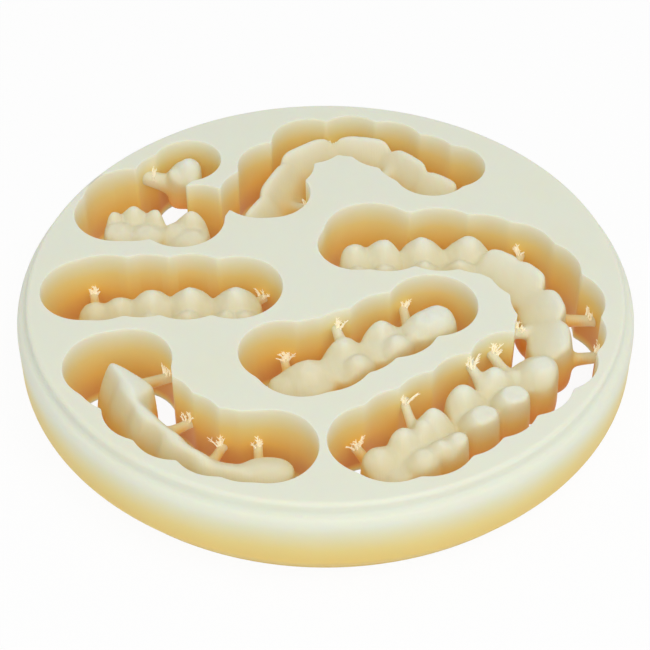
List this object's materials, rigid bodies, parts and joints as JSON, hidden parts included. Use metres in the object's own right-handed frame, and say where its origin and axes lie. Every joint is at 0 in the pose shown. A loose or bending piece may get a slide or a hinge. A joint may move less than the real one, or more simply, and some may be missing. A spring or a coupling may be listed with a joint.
{
  "type": "dental milling disc",
  "caption": "Stepped round acrylic blank with milled pockets, in which crowns and bridges still hang on short struts from the pocket walls.",
  "frame": {"origin": "centre of the underside, on the disc's axis", "axes": "+Z along the disc's axis, up through the face where the crowns show their chewing side; +X to the right and +Y away as the picture shows it"},
  "size_m": [0.0984, 0.0984, 0.014],
  "materials": {
    "acrylic": "tooth-coloured and slightly translucent, dull from the mill, warm amber in the deep pockets"
  },
  "bodies": {
    "root": {"milled_disc": "acrylic"}
  },
  "joints": []
}
